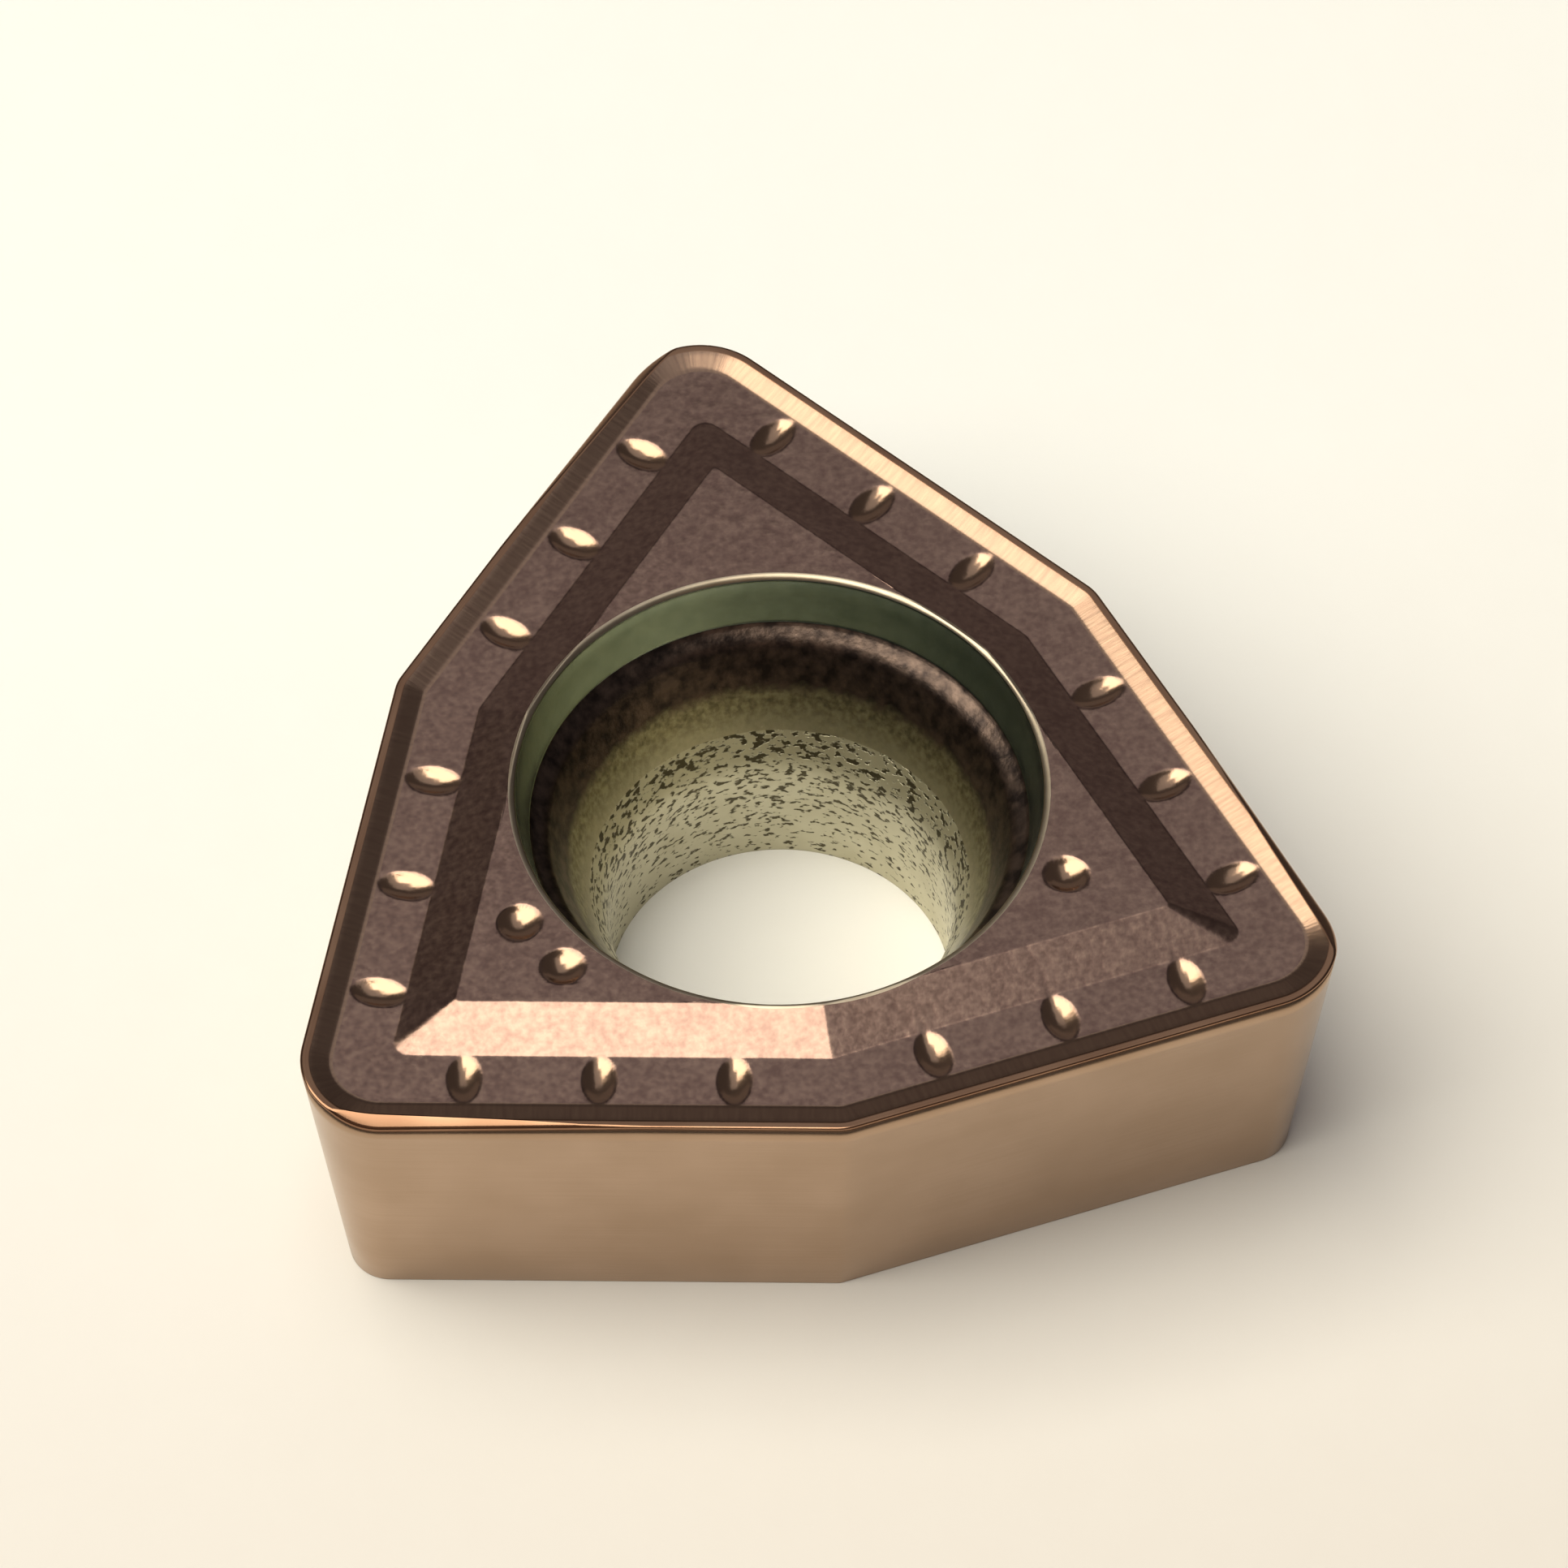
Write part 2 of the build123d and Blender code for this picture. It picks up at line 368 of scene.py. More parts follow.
mouth_inset = last_inset(BOSS_FOOT, BOSS_LIMIT, is_clear_of_mouth)
slope_start = BOSS_FOOT + CREASE_REACH
slope_end = np.minimum(BOSS_EDGE - EDGE_REACH, mouth_inset - MOUTH_REACH)
for share in (0.2, 0.4, 0.6, 0.8, 1.0):
    add_face_ring(slope_start + (slope_end - slope_start) * share, PRESSED)
for share in (0.25, 0.5, 0.75, 1.0):
    over_edge = BOSS_EDGE + EDGE_REACH * (2 * share - 1)
    add_face_ring(np.minimum(over_edge, mouth_inset - MOUTH_REACH * (1 - share)), PRESSED)
plateau_start = rings[-1][0]
for share in np.linspace(0, 1, 37)[1:]:
    plan = plateau_start * (1 - share) + spoke * PLATEAU_END * share
    add_ring(plan, face_height(inset_of(plan)), PRESSED)
print(len(rings), "rings up to the hole")

# %% [markdown]
# ## The screw hole
# The hole is round all the way down: a rounded lip, a steep mouth, a sloping shoulder, a steep
# seat that rolls over into the bore, and a plain bore. The screw's head bears on the rolled
# part. Cutting it from the block with a turned tool would leave long triangles at the lip. So
# a list of radii and heights gives the section, and every ring is a circle.

# %% Points of the section
ROLL_RADIUS = 0.9
SEAT_SLOPE = radians(66)
SHOULDER_SLOPE = radians(35)
SHOULDER_RADIUS = 2.27
SEAT_RADIUS = 2.42
MOUTH_FOOT_RADIUS = 2.45
BORE_FOOT = 0.02
roll_centre = BORE_RADIUS + ROLL_RADIUS
roll_top = roll_centre - ROLL_RADIUS * sin(SEAT_SLOPE), BORE_TOP + ROLL_RADIUS * cos(SEAT_SLOPE)
shoulder_height = roll_top[1] + (SHOULDER_RADIUS - roll_top[0]) * tan(SEAT_SLOPE)
seat_height = shoulder_height + (SEAT_RADIUS - SHOULDER_RADIUS) * tan(SHOULDER_SLOPE)
shoulder = SHOULDER_RADIUS, shoulder_height
seat_edge = SEAT_RADIUS, seat_height
mouth_foot = MOUTH_FOOT_RADIUS, seat_height + MOUTH_FOOT_RADIUS - SEAT_RADIUS
mouth_top = MOUTH_RADIUS, BOSS_TOP - MOUTH_ROUND
print("mouth foot, seat edge and shoulder at", [round(p[1], 3) for p in (mouth_foot, seat_edge, shoulder)])

# %% Rings of the hole
# The lip's rounding takes the pale lip finish down to this angle: a painted highlight ring.
PAINTED_RING_END = radians(65)
section = []

def add_straight(start, end, shares, finish):
    """Points of the section at shares of the way from a radius and height to the next."""
    for share in shares:
        section.append((*(a + (b - a) * share for a, b in zip(start, end)), finish))

for angle in np.radians(np.linspace(0, 90, 10)):
    radius = MOUTH_RADIUS + MOUTH_ROUND * (1 - sin(angle))
    section.append((radius, mouth_top[1] + MOUTH_ROUND * cos(angle), LIP if angle < PAINTED_RING_END else MOUTH))
add_straight(mouth_top, mouth_foot, (0.3, 0.65, 0.93, 1.0), MOUTH)
add_straight(mouth_foot, seat_edge, (0.35, 0.7, 1.0), SEAT)
add_straight(seat_edge, shoulder, (0.1, 0.5, 0.9), SEAT)
add_straight(shoulder, roll_top, (0.04, 0.3, 0.55, 0.8), SEAT)
add_straight(shoulder, roll_top, (1.0,), BORE_WALL)
for angle in np.linspace(pi / 2 + SEAT_SLOPE, pi, 10)[1:]:
    section.append((roll_centre + ROLL_RADIUS * cos(angle), BORE_TOP + ROLL_RADIUS * sin(angle), BORE_WALL))
for height in (BORE_TOP * 0.8, BORE_TOP * 0.55, BORE_TOP * 0.3, 0.12, BORE_FOOT):
    section.append((BORE_RADIUS, height, BORE_WALL))
for radius, height, finish in section:
    plan = spoke * radius
    add_ring(plan, np.minimum(height, face_height(inset_of(plan))), finish)
print(len(section), "rings in the hole,", len(rings), "in all")

# %% A map that follows the rings
def lay_of_squares(plan, height):
    """For the corners of each square, the way round the outline and the way down the section."""
    steps = np.abs(np.diff(plan, axis=0)) ** 2 + np.diff(height, axis=0) ** 2
    down = np.concatenate([[0], np.cumsum(np.sqrt(steps).mean(axis=1))])
    down = np.append(down, down[-1] + BORE_FOOT)
    round_way = np.concatenate([[0], np.cumsum(np.abs(np.roll(outer_ring, -1) - outer_ring))])
    i, j = np.meshgrid(np.arange(len(rings)), np.arange(COLUMNS), indexing="ij")
    corners = ((i, j), (i, j + 1), (i + 1, j + 1), (i + 1, j))
    return np.stack([np.stack([round_way[b], down[a]], axis=-1) for a, b in corners], axis=2) * MM

# %% Join the rings into a closed skin
LIP_FADE = 0.15

def skin_mesh(name):
    """A mesh of squares between neighbouring rings and columns, closed in both directions.

    Its map is called lay. Its attribute as_sintered is 1 on the pressed face and fades out
    at the hole's lip.
    """
    plan = np.array([plan for plan, _, _ in rings])
    height = np.array([height for _, height, _ in rings])
    points = np.stack([plan.real, plan.imag, height], axis=-1).reshape(-1, 3) * MM
    numbers = np.arange(len(points)).reshape(len(rings), COLUMNS)
    next_ring, next_column = np.roll(numbers, -1, 0), np.roll(numbers, -1, 1)
    opposite = np.roll(next_ring, -1, 1)
    squares = np.stack([numbers, next_column, opposite, next_ring], axis=-1).reshape(-1, 4)
    mesh = bpy.data.meshes.new(name)
    mesh.from_pydata(points.tolist(), [], squares.tolist())
    finishes = np.roll([finish for _, _, finish in rings], -1)
    finishes[-1] = BORE_WALL
    mesh.polygons.foreach_set("material_index", np.repeat(finishes, COLUMNS).astype(np.int32))
    mesh.polygons.foreach_set("use_smooth", np.ones(len(squares), bool))
    lay = lay_of_squares(plan, height).astype(np.float32)
    mesh.uv_layers.new(name="lay").uv.foreach_set("vector", lay.ravel())
    pressed = np.array([finish == PRESSED for _, _, finish in rings])
    clear_of_lip = np.clip((np.abs(plan) - PLATEAU_END) / LIP_FADE, 0, 1) * pressed[:, None]
    uneven = mesh.attributes.new("as_sintered", "FLOAT", "POINT")
    uneven.data.foreach_set("value", clear_of_lip.astype(np.float32).ravel())
    mesh.update()
    return mesh

skin = skin_mesh("insert_blank")
print(len(skin.polygons) * 2, "triangles")

# %% [markdown]
# ## Finishes
# The block is cemented carbide under a thin hard coating, which shines like a tinted metal, so
# every finish is a metal with its own colour and roughness. Each zone was made in its own way.
# The face is as it came from the press and the furnace: satin, with a soft mottle. The sides,
# the land and the facets are ground, so there the coating is smoother and looks like copper.
# The hole was never ground. Its lip is painted pale, a painted highlight, and the coating thins
# out down it: it turns green, then dark and blotched, then olive, and at last shows the pale carbide
# with its pits.
# Patterns are sized in millimetres. They read the object's own coordinates, or the map that
# follows the rings where a finish has a lay. One small function adds every node.

# %% A helper for node trees
def node(tree, kind, inputs=(), **settings):
    """Adds a node with its settings. An input is a value, a socket, or a node to take from."""
    made = tree.nodes.new(kind)
    for name, value in settings.items():
        setattr(made, name, value)
    for key, value in inputs.items() if isinstance(inputs, dict) else enumerate(inputs):
        if isinstance(value, bpy.types.Node):
            value = next(socket for socket in value.outputs if socket.enabled)
        if isinstance(value, bpy.types.NodeSocket):
            tree.links.new(value, made.inputs[key])
        else:
            made.inputs[key].default_value = value
    return made

# %% Colours, and the start and end of a material
def linear(colour):
    """An sRGB hex colour as linear red, green, blue and alpha."""
    parts = [int(colour[i:i + 2], 16) / 255 for i in (1, 3, 5)]
    return (*[p / 12.92 if p <= 0.04045 else ((p + 0.055) / 1.055) ** 2.4 for p in parts], 1.0)

def new_material(name):
    """A material with nothing in it yet, its tree, and the coordinates of the object."""
    material = bpy.data.materials.new(name)
    material.use_nodes = True
    material.node_tree.nodes.clear()
    place = node(material.node_tree, "ShaderNodeTexCoord").outputs["Object"]
    return material, material.node_tree, place

def end_material(material, look):
    """Ends a material's tree with one surface that has this look."""
    surface = node(material.node_tree, "ShaderNodeBsdfPrincipled", look)
    node(material.node_tree, "ShaderNodeOutputMaterial", {"Surface": surface})
    print(f"{material.name}: {len(material.node_tree.nodes)} nodes")

# %% Pressed face
# Pressed and sintered powder. Its real grain is a few thousandths of a millimetre, too fine to
# show. It is drawn 0.07 mm wide, with faint 0.3 mm clouds, and gives the eye a satin mottle.
# The pins that press the dimples and dots are polished, so those marks shine more.
GRAIN_WIDTH = 0.07 * MM
pressed_face, tree, place = new_material("sintered_coated_face")
grain = node(tree, "ShaderNodeTexNoise", {"Vector": place, "Scale": 1 / GRAIN_WIDTH, "Detail": 3.0})
cloud = node(tree, "ShaderNodeTexNoise", {"Vector": place, "Scale": 1 / (0.3 * MM), "Detail": 2.0})
shade = node(tree, "ShaderNodeMath", (cloud, 0.4, grain), operation="MULTIPLY_ADD")
share = node(tree, "ShaderNodeMapRange", (shade, 0.5, 0.9))
tint = node(tree, "ShaderNodeMix", {0: share, 6: linear("#846A61"), 7: linear("#A08578")}, data_type="RGBA")
gloss = node(tree, "ShaderNodeMapRange", (grain, 0.3, 0.7, 0.20, 0.25))
mark = node(tree, "ShaderNodeAttribute", attribute_name="pin_mark").outputs["Fac"]
tint = node(tree, "ShaderNodeMix", {0: mark, 6: tint, 7: linear("#AC8E78")}, data_type="RGBA")
gloss = node(tree, "ShaderNodeMix", {0: mark, 2: gloss, 3: 0.19})
relief = node(tree, "ShaderNodeBump", {"Height": grain, "Distance": 0.0015 * MM})
end_material(pressed_face, {"Base Color": tint, "Metallic": 1.0, "Roughness": gloss, "Normal": relief})

# %% Rim
# The punch's polished edge presses the rim smoother than the face, and drags fine lines down
# it. They run across the rim, 0.05 mm apart, and make its highlight look brushed.
pressed_rim, tree, place = new_material("smooth_pressed_rim")
lay = node(tree, "ShaderNodeUVMap", uv_map="lay")
long_lines = node(tree, "ShaderNodeMapping", {"Vector": lay, "Scale": (1 / (0.05 * MM), 1 / (0.4 * MM), 1)})
lines = node(tree, "ShaderNodeTexNoise", {"Vector": long_lines, "Scale": 1.0, "Detail": 2.0})
tint = node(tree, "ShaderNodeMix", {0: lines, 6: linear("#8C7062"), 7: linear("#B0947E")}, data_type="RGBA")
relief = node(tree, "ShaderNodeBump", {"Height": lines, "Distance": 0.0008 * MM})
end_material(pressed_rim, {"Base Color": tint, "Metallic": 1.0, "Roughness": 0.19, "Normal": relief})

# %% Ground zones
# Diamond wheels of about grit 600 leave lines 0.02 mm apart along the edge. The coating lies
# over them and gives a copper colour with a soft sheen; the finer land and facets shine.
def ground_finish(name, roughness, dark, light, depth):
    """A ground and coated metal, its lines as deep as depth in millimetres."""
    material, tree, place = new_material(name)
    lay = node(tree, "ShaderNodeUVMap", uv_map="lay")
    long_lines = node(tree, "ShaderNodeMapping", {"Vector": lay, "Scale": (1 / (2 * MM), 1 / (0.02 * MM), 1)})
    lines = node(tree, "ShaderNodeTexNoise", {"Vector": long_lines, "Scale": 1.0, "Detail": 2.0})
    cloud = node(tree, "ShaderNodeTexNoise", {"Vector": place, "Scale": 1 / (0.9 * MM), "Detail": 2.0})
    shade = node(tree, "ShaderNodeMath", (lines, 0.5, cloud), operation="MULTIPLY_ADD")
    share = node(tree, "ShaderNodeMapRange", (shade, 0.55, 0.95))
    tint = node(tree, "ShaderNodeMix", {0: share, 6: linear(dark), 7: linear(light)}, data_type="RGBA")
    relief = node(tree, "ShaderNodeBump", {"Height": lines, "Distance": depth * MM})
    end_material(material, {"Base Color": tint, "Metallic": 1.0, "Roughness": roughness, "Normal": relief})
    return material

ground_base = ground_finish("ground_base", 0.35, "#A48C7A", "#B09885", 0.0008)
ground_side = ground_finish("ground_coated_side", 0.24, "#AC927A", "#B59B84", 0.0005)
ground_edge = ground_finish("ground_land_and_facets", 0.15, "#8C6A54", "#A07E66", 0.0003)

# %% Lip of the hole
# The upper part of the lip is painted pale: a painted highlight, which draws a light ring all round.
lip_painted_highlight, tree, place = new_material("lip_painted_highlight")
cloud = node(tree, "ShaderNodeTexNoise", {"Vector": place, "Scale": 1 / (0.3 * MM), "Detail": 2.0})
tint = node(tree, "ShaderNodeMix", {0: cloud, 6: linear("#A0907E"), 7: linear("#C8BCA8")}, data_type="RGBA")
end_material(lip_painted_highlight, {"Base Color": tint, "Metallic": 1.0, "Roughness": 0.34})

# %% Mouth of the hole
# The steep wall is smooth as pressed, and its coating is thin enough to turn grey-green. It is
# drawn darker and bluer towards +X.
green_mouth, tree, place = new_material("thin_green_coating")
across = node(tree, "ShaderNodeSeparateXYZ", {0: place}).outputs["X"]
plus_x_share = node(tree, "ShaderNodeMapRange", (across, -0.5 * MM, 2.2 * MM))
cloud = node(tree, "ShaderNodeTexNoise", {"Vector": place, "Scale": 1 / (0.2 * MM), "Detail": 3.0})
thin = node(tree, "ShaderNodeMix", {0: cloud, 6: linear("#8E9E90"), 7: linear("#B6C4B2")}, data_type="RGBA")
blue = node(tree, "ShaderNodeMix", {0: cloud, 6: linear("#62706E"), 7: linear("#7A8886")}, data_type="RGBA")
tint = node(tree, "ShaderNodeMix", {0: plus_x_share, 6: thin, 7: blue}, data_type="RGBA")
relief = node(tree, "ShaderNodeBump", {"Height": cloud, "Distance": 0.003 * MM})
end_material(green_mouth, {"Base Color": tint, "Metallic": 1.0, "Roughness": 0.26, "Normal": relief})

# %% Shoulder and seat
# The shoulder is dark and slightly rough, blotched where the coating thins. Down the seat it
# turns olive, and then pale where the bore begins. A border's level is a height plus a share
# of the blotches, 0.08 mm on average, so that no border is a clean line.
OLIVE_TOP, OLIVE_FULL = 2.34 * MM, 2.22 * MM
PALE_TOP, PALE_FULL = 2.15 * MM, 1.80 * MM
BORDER_SHIFT = 0.16 * MM
rolled_seat, tree, place = new_material("rolled_seat")
height = node(tree, "ShaderNodeSeparateXYZ", {0: place}).outputs["Z"]
grain = node(tree, "ShaderNodeTexNoise", {"Vector": place, "Scale": 1 / GRAIN_WIDTH, "Detail": 3.0})
cloud = node(tree, "ShaderNodeTexNoise", {"Vector": place, "Scale": 1 / (0.15 * MM), "Detail": 3.0})
blotch = node(tree, "ShaderNodeMapRange", (cloud, 0.35, 0.65))
dark = node(tree, "ShaderNodeMix", {0: blotch, 6: linear("#3A3230"), 7: linear("#6A5A52")}, data_type="RGBA")
speck = node(tree, "ShaderNodeMapRange", (grain, 0.35, 0.65))
olive = node(tree, "ShaderNodeMix", {0: speck, 6: linear("#77705A"), 7: linear("#A9A284")}, data_type="RGBA")
level = node(tree, "ShaderNodeMath", (cloud, BORDER_SHIFT, height), operation="MULTIPLY_ADD")
olive_part = node(tree, "ShaderNodeMapRange", (level, OLIVE_TOP, OLIVE_FULL))
tint = node(tree, "ShaderNodeMix", {0: olive_part, 6: dark, 7: olive}, data_type="RGBA")
pale_part = node(tree, "ShaderNodeMapRange", (level, PALE_TOP, PALE_FULL))
tint = node(tree, "ShaderNodeMix", {0: pale_part, 6: tint, 7: linear("#BDB79F")}, data_type="RGBA")
relief = node(tree, "ShaderNodeBump", {"Height": grain, "Distance": 0.005 * MM})
end_material(rolled_seat, {"Base Color": tint, "Metallic": 1.0, "Roughness": 0.36, "Normal": relief})

# %% Bore
# Bare sintered carbide, pale and matt. Gas leaves pits in it, flattened by the pressing, about
# 0.06 mm wide and half as high. They crowd near the top and die out towards the base.
PIT_SPACING = (0.09, 0.09, 0.05)
pale_bore, tree, place = new_material("bare_sintered_bore")
height = node(tree, "ShaderNodeSeparateXYZ", {0: place}).outputs["Z"]
flat_pits = node(tree, "ShaderNodeMapping", {"Vector": place, "Scale": [1 / (w * MM) for w in PIT_SPACING]})
pit_noise = node(tree, "ShaderNodeTexNoise", {"Vector": flat_pits, "Scale": 1.0, "Detail": 2.0})
crowd = node(tree, "ShaderNodeMapRange", (height, 0.2 * MM, 1.6 * MM, -0.06, 0.02))
pit_level = node(tree, "ShaderNodeMath", (pit_noise, crowd), operation="SUBTRACT")
pits = node(tree, "ShaderNodeMapRange", (pit_level, 0.47, 0.40))
cloud = node(tree, "ShaderNodeTexNoise", {"Vector": place, "Scale": 1 / (0.4 * MM), "Detail": 2.0})
pale = node(tree, "ShaderNodeMix", {0: cloud, 6: linear("#BDB79C"), 7: linear("#D6D2BC")}, data_type="RGBA")
tint = node(tree, "ShaderNodeMix", {0: pits, 6: pale, 7: linear("#5A5442")}, data_type="RGBA")
solid = node(tree, "ShaderNodeMath", (1.0, pits), operation="SUBTRACT")
relief = node(tree, "ShaderNodeBump", {"Height": solid, "Distance": 0.004 * MM})
end_material(pale_bore, {"Base Color": tint, "Metallic": 1.0, "Roughness": 0.45, "Normal": relief})

# %% Give the skin its finishes
finish_of = {
    BASE: ground_base,
    FLANK: ground_side,
    EDGE: ground_edge,
    RIM: pressed_rim,
    PRESSED: pressed_face,
    # The lip's pale finish is a painted highlight.
    LIP: lip_painted_highlight,
    MOUTH: green_mouth,
    SEAT: rolled_seat,
    BORE_WALL: pale_bore,
}
for number in sorted(finish_of):
    skin.materials.append(finish_of[number])
print([material.name for material in skin.materials])

# %% [markdown]
# ## Dimples and dots
# A row of three oval dimples runs along the groove on each side, and the middle of the boss
# carries small round dots that number the corners. They repeat by a rule, so Geometry Nodes
# press them. Instancing 18 tools and cutting with them would leave ragged edges. Instead the
# tree folds the whole face onto one sixth, as a kaleidoscope does, finds the nearest dimple
# on that one side, and sinks each point to the ball that pressed it. The soft minimum keeps
# the lip of a dimple slightly round.

# %% Start and end of a modifier tree
def new_modifier_tree(name, inputs):
    """A modifier tree with named inputs. Gives the tree and the sockets of its inputs."""
    tree = bpy.data.node_groups.new(name, "GeometryNodeTree")
    for way in ("INPUT", "OUTPUT"):
        tree.interface.new_socket("Geometry", in_out=way, socket_type="NodeSocketGeometry")
    for key in inputs:
        tree.interface.new_socket(key, in_out="INPUT", socket_type="NodeSocketFloat")
    return tree, node(tree, "NodeGroupInput").outputs

def end_modifier_tree(tree, geometry):
    """Makes the result real, and sets the pressed face's material on the pressed zone."""
    real = node(tree, "GeometryNodeRealizeInstances", (geometry,))
    slot = node(tree, "GeometryNodeInputMaterialIndex")
    chosen = node(tree, "FunctionNodeCompare", {2: slot, 3: PRESSED}, data_type="INT", operation="EQUAL")
    ends = {"Geometry": real, "Selection": chosen, "Material": pressed_face}
    node(tree, "NodeGroupOutput", (node(tree, "GeometryNodeSetMaterial", ends),))

# %% Press a ball into the skin
# Outside the ball's own reach its surface goes on as a steep wall, which never meets the face.
OUTER_WALL = 9.0
MARK_START, MARK_FULL = 0.002 * MM, 0.012 * MM

def press_ball(tree, size, place, away):
    """Sinks the skin to a ball: away is how far a point lies from the middle of its mark.

    The points it sinks get the attribute pin_mark.
    """
    x, y, z = place.outputs
    share = node(tree, "ShaderNodeMath", (away, size["Ball"]), operation="DIVIDE")
    tilt = node(tree, "ShaderNodeMath", (share,), operation="ARCSINE", use_clamp=True)
    level = node(tree, "ShaderNodeMath", (tilt,), operation="COSINE")
    rise = node(tree, "ShaderNodeMath", (1.0, level), operation="SUBTRACT")
    beyond = node(tree, "ShaderNodeMath", (share, 1.0), operation="SUBTRACT", use_clamp=True)
    rise = node(tree, "ShaderNodeMath", (beyond, OUTER_WALL, rise), operation="MULTIPLY_ADD")
    ball_height = node(tree, "ShaderNodeMath", (rise, size["Ball"], size["Bottom"]), operation="MULTIPLY_ADD")
    height = node(tree, "ShaderNodeMath", (z, ball_height, size["Lip"]), operation="SMOOTH_MIN")
    sunk = node(tree, "ShaderNodeCombineXYZ", (x, y, height))
    depth = node(tree, "ShaderNodeMath", (z, height), operation="SUBTRACT")
    mark = node(tree, "ShaderNodeMapRange", (depth, MARK_START, MARK_FULL))
    other_marks = node(tree, "GeometryNodeInputNamedAttribute", {"Name": "pin_mark"}, data_type="FLOAT")
    mark = node(tree, "ShaderNodeMath", (mark, other_marks), operation="MAXIMUM")
    ends = {"Geometry": size["Geometry"], "Name": "pin_mark", "Value": mark}
    marked = node(tree, "GeometryNodeStoreNamedAttribute", ends, data_type="FLOAT")
    end_modifier_tree(tree, node(tree, "GeometryNodeSetPosition", {"Geometry": marked, "Position": sunk}))

def ball_radius(width, depth):
    """The radius of the ball that presses a round mark of a width and a depth."""
    return (width ** 2 / 4 + depth ** 2) / (2 * depth)

# %% Dimples: fold the whole face onto one sixth
DIMPLE_INSET = 0.595
DIMPLE_DEPTH = 0.055
dimple_sizes = {
    "First": DIMPLE_FIRST * MM,
    "Pitch": DIMPLE_PITCH * MM,
    "Inset": DIMPLE_INSET * MM,
    "Squash": DIMPLE_WIDTH / DIMPLE_LENGTH,
    "Ball": ball_radius(DIMPLE_WIDTH, DIMPLE_DEPTH) * MM,
    "Bottom": (FLOOR - DIMPLE_DEPTH) * MM,
    "Lip": 0.010 * MM,
}
dimples, size = new_modifier_tree("press_dimples", dimple_sizes)
place = node(dimples, "ShaderNodeSeparateXYZ", (node(dimples, "GeometryNodeInputPosition"),))
x, y, z = place.outputs
flat_place = node(dimples, "ShaderNodeCombineXYZ", (x, y))
reach = node(dimples, "ShaderNodeVectorMath", (flat_place,), operation="LENGTH")
heading = node(dimples, "ShaderNodeMath", (y, x), operation="ARCTAN2")
turn = node(dimples, "ShaderNodeMath", (heading, CORNER_TURNS[0]), operation="SUBTRACT")
folded_turn = node(dimples, "ShaderNodeMath", (turn, radians(BLUNT_HEADING)), operation="PINGPONG")
straight = node(dimples, "ShaderNodeCombineXYZ", (reach,))
bend = {"Vector": straight, "Angle": folded_turn}
folded = node(dimples, "ShaderNodeVectorRotate", bend, rotation_type="Z_AXIS")
print(len(dimples.nodes), "nodes fold the face")

# %% Dimples: sink each point to the nearest one
normal = (SIDE_NORMAL.real, SIDE_NORMAL.imag, 0)
to_side = node(dimples, "ShaderNodeVectorMath", (folded, normal), operation="DOT_PRODUCT")
inset = node(dimples, "ShaderNodeMath", (INRADIUS * MM, to_side), operation="SUBTRACT")
from_tip = node(dimples, "ShaderNodeVectorMath", (folded, (SHARP_TIP * MM, 0, 0)), operation="SUBTRACT")
way = (SIDE_WAY.real, SIDE_WAY.imag, 0)
station = node(dimples, "ShaderNodeVectorMath", (from_tip, way), operation="DOT_PRODUCT")
past_first = node(dimples, "ShaderNodeMath", (station, size["First"]), operation="SUBTRACT")
past_half = node(dimples, "ShaderNodeMath", (size["Pitch"], 0.5, past_first), operation="MULTIPLY_ADD")
nearest = node(dimples, "ShaderNodeMath", (past_half, size["Pitch"]), operation="SNAP")
last = node(dimples, "ShaderNodeMath", (size["Pitch"], DIMPLES_ON_SIDE - 1), operation="MULTIPLY")
nearest = node(dimples, "ShaderNodeClamp", (nearest, 0.0, last))
across = node(dimples, "ShaderNodeMath", (past_first, nearest), operation="SUBTRACT")
along = node(dimples, "ShaderNodeMath", (inset, size["Inset"]), operation="SUBTRACT")
along = node(dimples, "ShaderNodeMath", (along, size["Squash"]), operation="MULTIPLY")
offset = node(dimples, "ShaderNodeCombineXYZ", (across, along))
away = node(dimples, "ShaderNodeVectorMath", (offset,), operation="LENGTH")
press_ball(dimples, size, place, away)
print(len(dimples.nodes), "nodes press the dimples")

# %% Dots: one at one corner, a pair at the next, none at the third
DOT_REACH = 2.98
DOT_PITCH = 0.68
DOT_WIDTH = 0.43
DOT_DEPTH = 0.075
dot_sizes = {
    "Reach": DOT_REACH * MM,
    "Pitch": DOT_PITCH * MM,
    "Ball": ball_radius(DOT_WIDTH, DOT_DEPTH) * MM,
    "Bottom": (BOSS_TOP - DOT_DEPTH) * MM,
    "Lip": 0.008 * MM,
}
dots, size = new_modifier_tree("press_dots", dot_sizes)
half_pitch = node(dots, "ShaderNodeMath", (size["Pitch"], -0.5), operation="MULTIPLY")
pair_start = node(dots, "ShaderNodeCombineXYZ", (size["Reach"], half_pitch))
pair_step = node(dots, "ShaderNodeCombineXYZ", {"Y": size["Pitch"]})
pair = node(dots, "GeometryNodeMeshLine", {"Count": 2, "Start Location": pair_start, "Offset": pair_step})
single_start = node(dots, "ShaderNodeCombineXYZ", (size["Reach"],))
single = node(dots, "GeometryNodeMeshLine", {"Count": 1, "Start Location": single_start})
turned_pair = node(dots, "GeometryNodeTransform", {"Geometry": pair, "Rotation": (0, 0, CORNER_TURNS[1])})
turned_single = node(dots, "GeometryNodeTransform", {"Geometry": single, "Rotation": (0, 0, CORNER_TURNS[2])})
middles = node(dots, "GeometryNodeJoinGeometry", (turned_pair,))
dots.links.new(turned_single.outputs[0], middles.inputs[0])
place = node(dots, "ShaderNodeSeparateXYZ", (node(dots, "GeometryNodeInputPosition"),))
flat_place = node(dots, "ShaderNodeCombineXYZ", (place.outputs["X"], place.outputs["Y"]))
ends = {0: middles, "Sample Position": flat_place}
